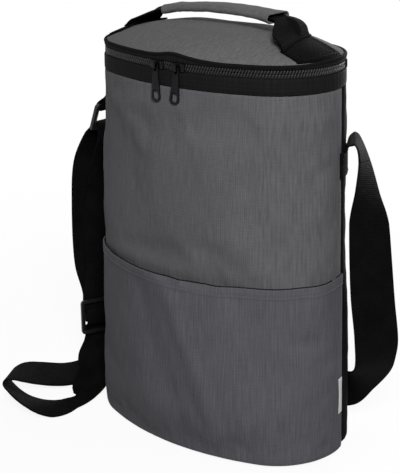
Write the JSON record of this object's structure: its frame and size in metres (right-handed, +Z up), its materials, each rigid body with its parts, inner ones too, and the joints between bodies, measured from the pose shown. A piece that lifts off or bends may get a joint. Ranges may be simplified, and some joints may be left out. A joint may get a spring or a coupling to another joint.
{
  "type": "wine cooler bag",
  "caption": "Soft insulated cooler bag that stands on its base and carries wine bottles side by side under a domed zip lid, with a padded grip, a front pocket and a shoulder strap.",
  "frame": {"origin": "middle of the base, on the floor", "axes": "+X to the right seen from the front, +Y to the back, where the lid is hinged, +Z up"},
  "size_m": [0.3337, 0.1812, 0.3502],
  "materials": {
    "grey_polyester": "matt woven polyester, fine vertical streaks",
    "black_polyester": "matt woven polyester",
    "black_webbing": "ribbed polypropylene webbing",
    "zipper_tape": "woven polyester tape",
    "zipper_coil": "nylon coil",
    "slider_enamel": "gloss black enamel on zinc",
    "silver_film": "satin silver PEVA film",
    "white_foam": "closed-cell polyethylene foam",
    "grey_board": "plain stiffening board",
    "black_acetal": "moulded acetal",
    "white_satin": "woven satin label"
  },
  "bodies": {
    "bag_body": {"base_panel": "black_polyester", "front_panel": "grey_polyester", "back_panel": "black_polyester", "edge_band": "black_polyester", "front_pocket": "grey_polyester", "side_label": "white_satin", "base_board": "grey_board", "base_foam": "white_foam", "front_foam": "white_foam", "back_foam": "white_foam", "liner": "silver_film", "liner_binding": "black_polyester", "divider": "silver_film", "zipper_tape_lower": "zipper_tape", "zipper_coil_lower": "zipper_coil", "zipper_end_right": "black_polyester", "zipper_end_left": "black_polyester", "lid_hinge_strip": "black_polyester", "strap_patch": "black_webbing", "ring_tab": "black_webbing"},
    "lid": {"zipper_tape_upper": "zipper_tape", "zipper_coil_upper": "zipper_coil", "lid_band": "black_polyester", "lid_panel": "grey_polyester", "lid_foam": "white_foam", "lid_lining": "silver_film", "lid_binding": "black_polyester", "handle_foot_left": "black_webbing", "handle_foot_right": "black_webbing"},
    "handle": {"handle_grip": "grey_polyester", "handle_core": "black_webbing", "handle_riser_left": "black_webbing", "handle_riser_right": "black_webbing"},
    "slider_left": {"slider_left": "slider_enamel"},
    "slider_right": {"slider_right": "slider_enamel"},
    "pull_left": {"pull_left": "slider_enamel"},
    "pull_right": {"pull_right": "slider_enamel"},
    "strap": {"strap_anchor": "black_webbing", "strap_right_fall": "black_webbing", "strap_back_run": "black_webbing", "strap_floor_loop": "black_webbing", "strap_left_rise": "black_webbing", "strap_front_layer": "black_webbing", "strap_ring_bend": "black_webbing", "strap_rear_layer": "black_webbing"},
    "ring": {"strap_ring": "black_acetal"},
    "adjuster": {"strap_adjuster": "black_acetal", "strap_weave": "black_webbing", "strap_tail": "black_webbing"}
  },
  "joints": [
    {"name": "lid_hinge", "type": "hinge", "parent": "bag_body", "child": "lid", "pos_m": [0, 0.0585, 0.3117], "axis": [-1, 0, 0], "range_deg": [0, 110], "deforming": ["lid_hinge_strip"]},
    {"name": "slider_left_run", "type": "hinge", "parent": "bag_body", "child": "slider_left", "pos_m": [0, 0.1352, 0.3117], "axis": [0, 0, -1], "range_deg": [0, 16]},
    {"name": "slider_right_run", "type": "hinge", "parent": "bag_body", "child": "slider_right", "pos_m": [0, 0.1352, 0.3117], "axis": [0, 0, 1], "range_deg": [0, 16]},
    {"name": "pull_left_swing", "type": "hinge", "parent": "slider_left", "child": "pull_left", "pos_m": [-0.01025, -0.06028, 0.3117], "axis": [-0.9986, 0.0523, 0], "range_deg": [0, 150]},
    {"name": "pull_right_swing", "type": "hinge", "parent": "slider_right", "child": "pull_right", "pos_m": [0.01025, -0.06028, 0.3117], "axis": [-0.9986, -0.0523, 0], "range_deg": [0, 150]},
    {"name": "handle_swing", "type": "hinge", "parent": "lid", "child": "handle", "pos_m": [0, 0.004, 0.331], "axis": [1, 0, 0], "range_deg": [-20, 20], "deforming": ["handle_riser_left", "handle_riser_right"]},
    {"name": "strap_swing", "type": "hinge", "parent": "bag_body", "child": "strap", "pos_m": [0, 0.018, 0.258], "axis": [1, 0, 0], "range_deg": [0, 150], "deforming": ["ring_tab", "strap_anchor", "strap_left_rise"]},
    {"name": "ring_hinge", "type": "hinge", "parent": "strap", "child": "ring", "pos_m": [-0.124, 0.006, 0.238], "axis": [0, 1, 0], "range_deg": [-15, 15], "deforming": ["ring_tab"]},
    {"name": "adjuster_slide", "type": "slide", "parent": "strap", "child": "adjuster", "axis": [0, 0, 1], "range_m": [-0.015, 0.06], "deforming": ["strap_front_layer", "strap_rear_layer", "strap_left_rise"]}
  ]
}
